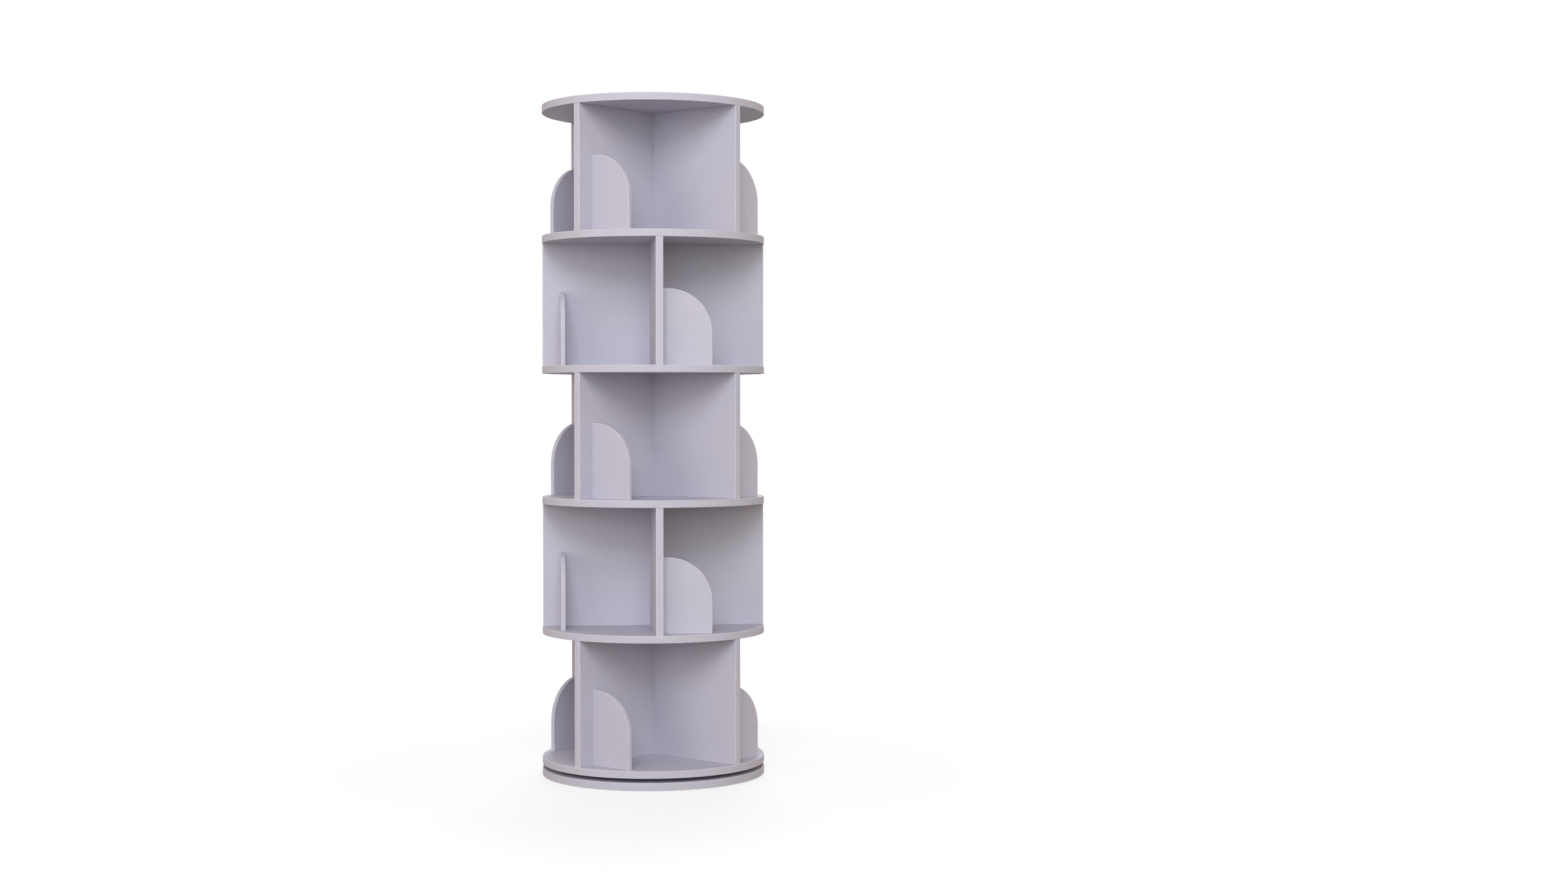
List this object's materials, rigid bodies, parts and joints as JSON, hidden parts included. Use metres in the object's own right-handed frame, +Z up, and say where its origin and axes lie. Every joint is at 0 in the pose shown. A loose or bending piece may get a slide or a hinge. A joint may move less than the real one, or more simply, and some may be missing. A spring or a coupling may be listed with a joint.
{
  "type": "revolving bookcase",
  "caption": "Round revolving bookcase tower: crossed partitions between round shelves, turned from tier to tier, with round-cornered book stops, on a flat ball bearing and a round base board.",
  "frame": {"origin": "on the floor, under the middle of the round base board, on the turning axis", "axes": "+Z up along the turning axis, +X and +Y along the arms of the even tiers at rest"},
  "size_m": [0.4599, 0.46, 1.3855],
  "materials": {
    "painted_board": "satin lilac grey paint on fibreboard",
    "felt": "pressed felt",
    "bearing_aluminium": "mill finish, lightly brushed",
    "ball_steel": "polished bearing steel",
    "screw_steel": "zinc plated",
    "cage_nylon": "natural nylon",
    "dowel_wood": "bare beech, sawn ends",
    "cap_plastic": "satin lilac grey"
  },
  "bodies": {
    "base": {"foot_pads": "felt", "base_board": "painted_board", "bearing_lower_ring": "bearing_aluminium", "lower_ring_screws": "screw_steel"},
    "ball_cage": {"ball_cage": "cage_nylon", "bearing_balls": "ball_steel"},
    "tower": {"bearing_upper_ring": "bearing_aluminium", "upper_ring_screws": "screw_steel", "bottom_shelf": "painted_board", "tier_1_long_partition": "painted_board", "tier_1_short_partition_a": "painted_board", "tier_1_short_partition_b": "painted_board", "tier_1_book_stop_a": "painted_board", "tier_1_book_stop_b": "painted_board", "tier_1_book_stop_c": "painted_board", "tier_1_book_stop_d": "painted_board", "tier_1_screws": "screw_steel", "shelf_1": "painted_board", "tier_2_long_partition": "painted_board", "tier_2_short_partition_a": "painted_board", "tier_2_short_partition_b": "painted_board", "tier_2_book_stop_a": "painted_board", "tier_2_book_stop_b": "painted_board", "tier_2_book_stop_c": "painted_board", "tier_2_book_stop_d": "painted_board", "tier_2_screws": "screw_steel", "shelf_2": "painted_board", "tier_3_long_partition": "painted_board", "tier_3_short_partition_a": "painted_board", "tier_3_short_partition_b": "painted_board", "tier_3_book_stop_a": "painted_board", "tier_3_book_stop_b": "painted_board", "tier_3_book_stop_c": "painted_board", "tier_3_book_stop_d": "painted_board", "tier_3_screws": "screw_steel", "shelf_3": "painted_board", "tier_4_long_partition": "painted_board", "tier_4_short_partition_a": "painted_board", "tier_4_short_partition_b": "painted_board", "tier_4_book_stop_a": "painted_board", "tier_4_book_stop_b": "painted_board", "tier_4_book_stop_c": "painted_board", "tier_4_book_stop_d": "painted_board", "tier_4_screws": "screw_steel", "shelf_4": "painted_board", "tier_5_long_partition": "painted_board", "tier_5_short_partition_a": "painted_board", "tier_5_short_partition_b": "painted_board", "tier_5_book_stop_a": "painted_board", "tier_5_book_stop_b": "painted_board", "tier_5_book_stop_c": "painted_board", "tier_5_book_stop_d": "painted_board", "tier_5_screws": "screw_steel", "top_board": "painted_board", "centre_dowels": "dowel_wood", "stop_dowels": "dowel_wood", "stop_screws": "screw_steel", "cover_caps": "cap_plastic"}
  },
  "joints": [
    {"name": "tower_spin", "type": "hinge", "parent": "base", "child": "tower", "pos_m": [0, 0, 0.02125], "axis": [0, 0, 1], "continuous": true},
    {"name": "cage_spin", "type": "hinge", "parent": "base", "child": "ball_cage", "pos_m": [0, 0, 0.02125], "axis": [0, 0, 1], "continuous": true}
  ],
  "couplings": [
    {"joint": "cage_spin", "follows": "tower_spin", "ratio": 0.5096}
  ]
}
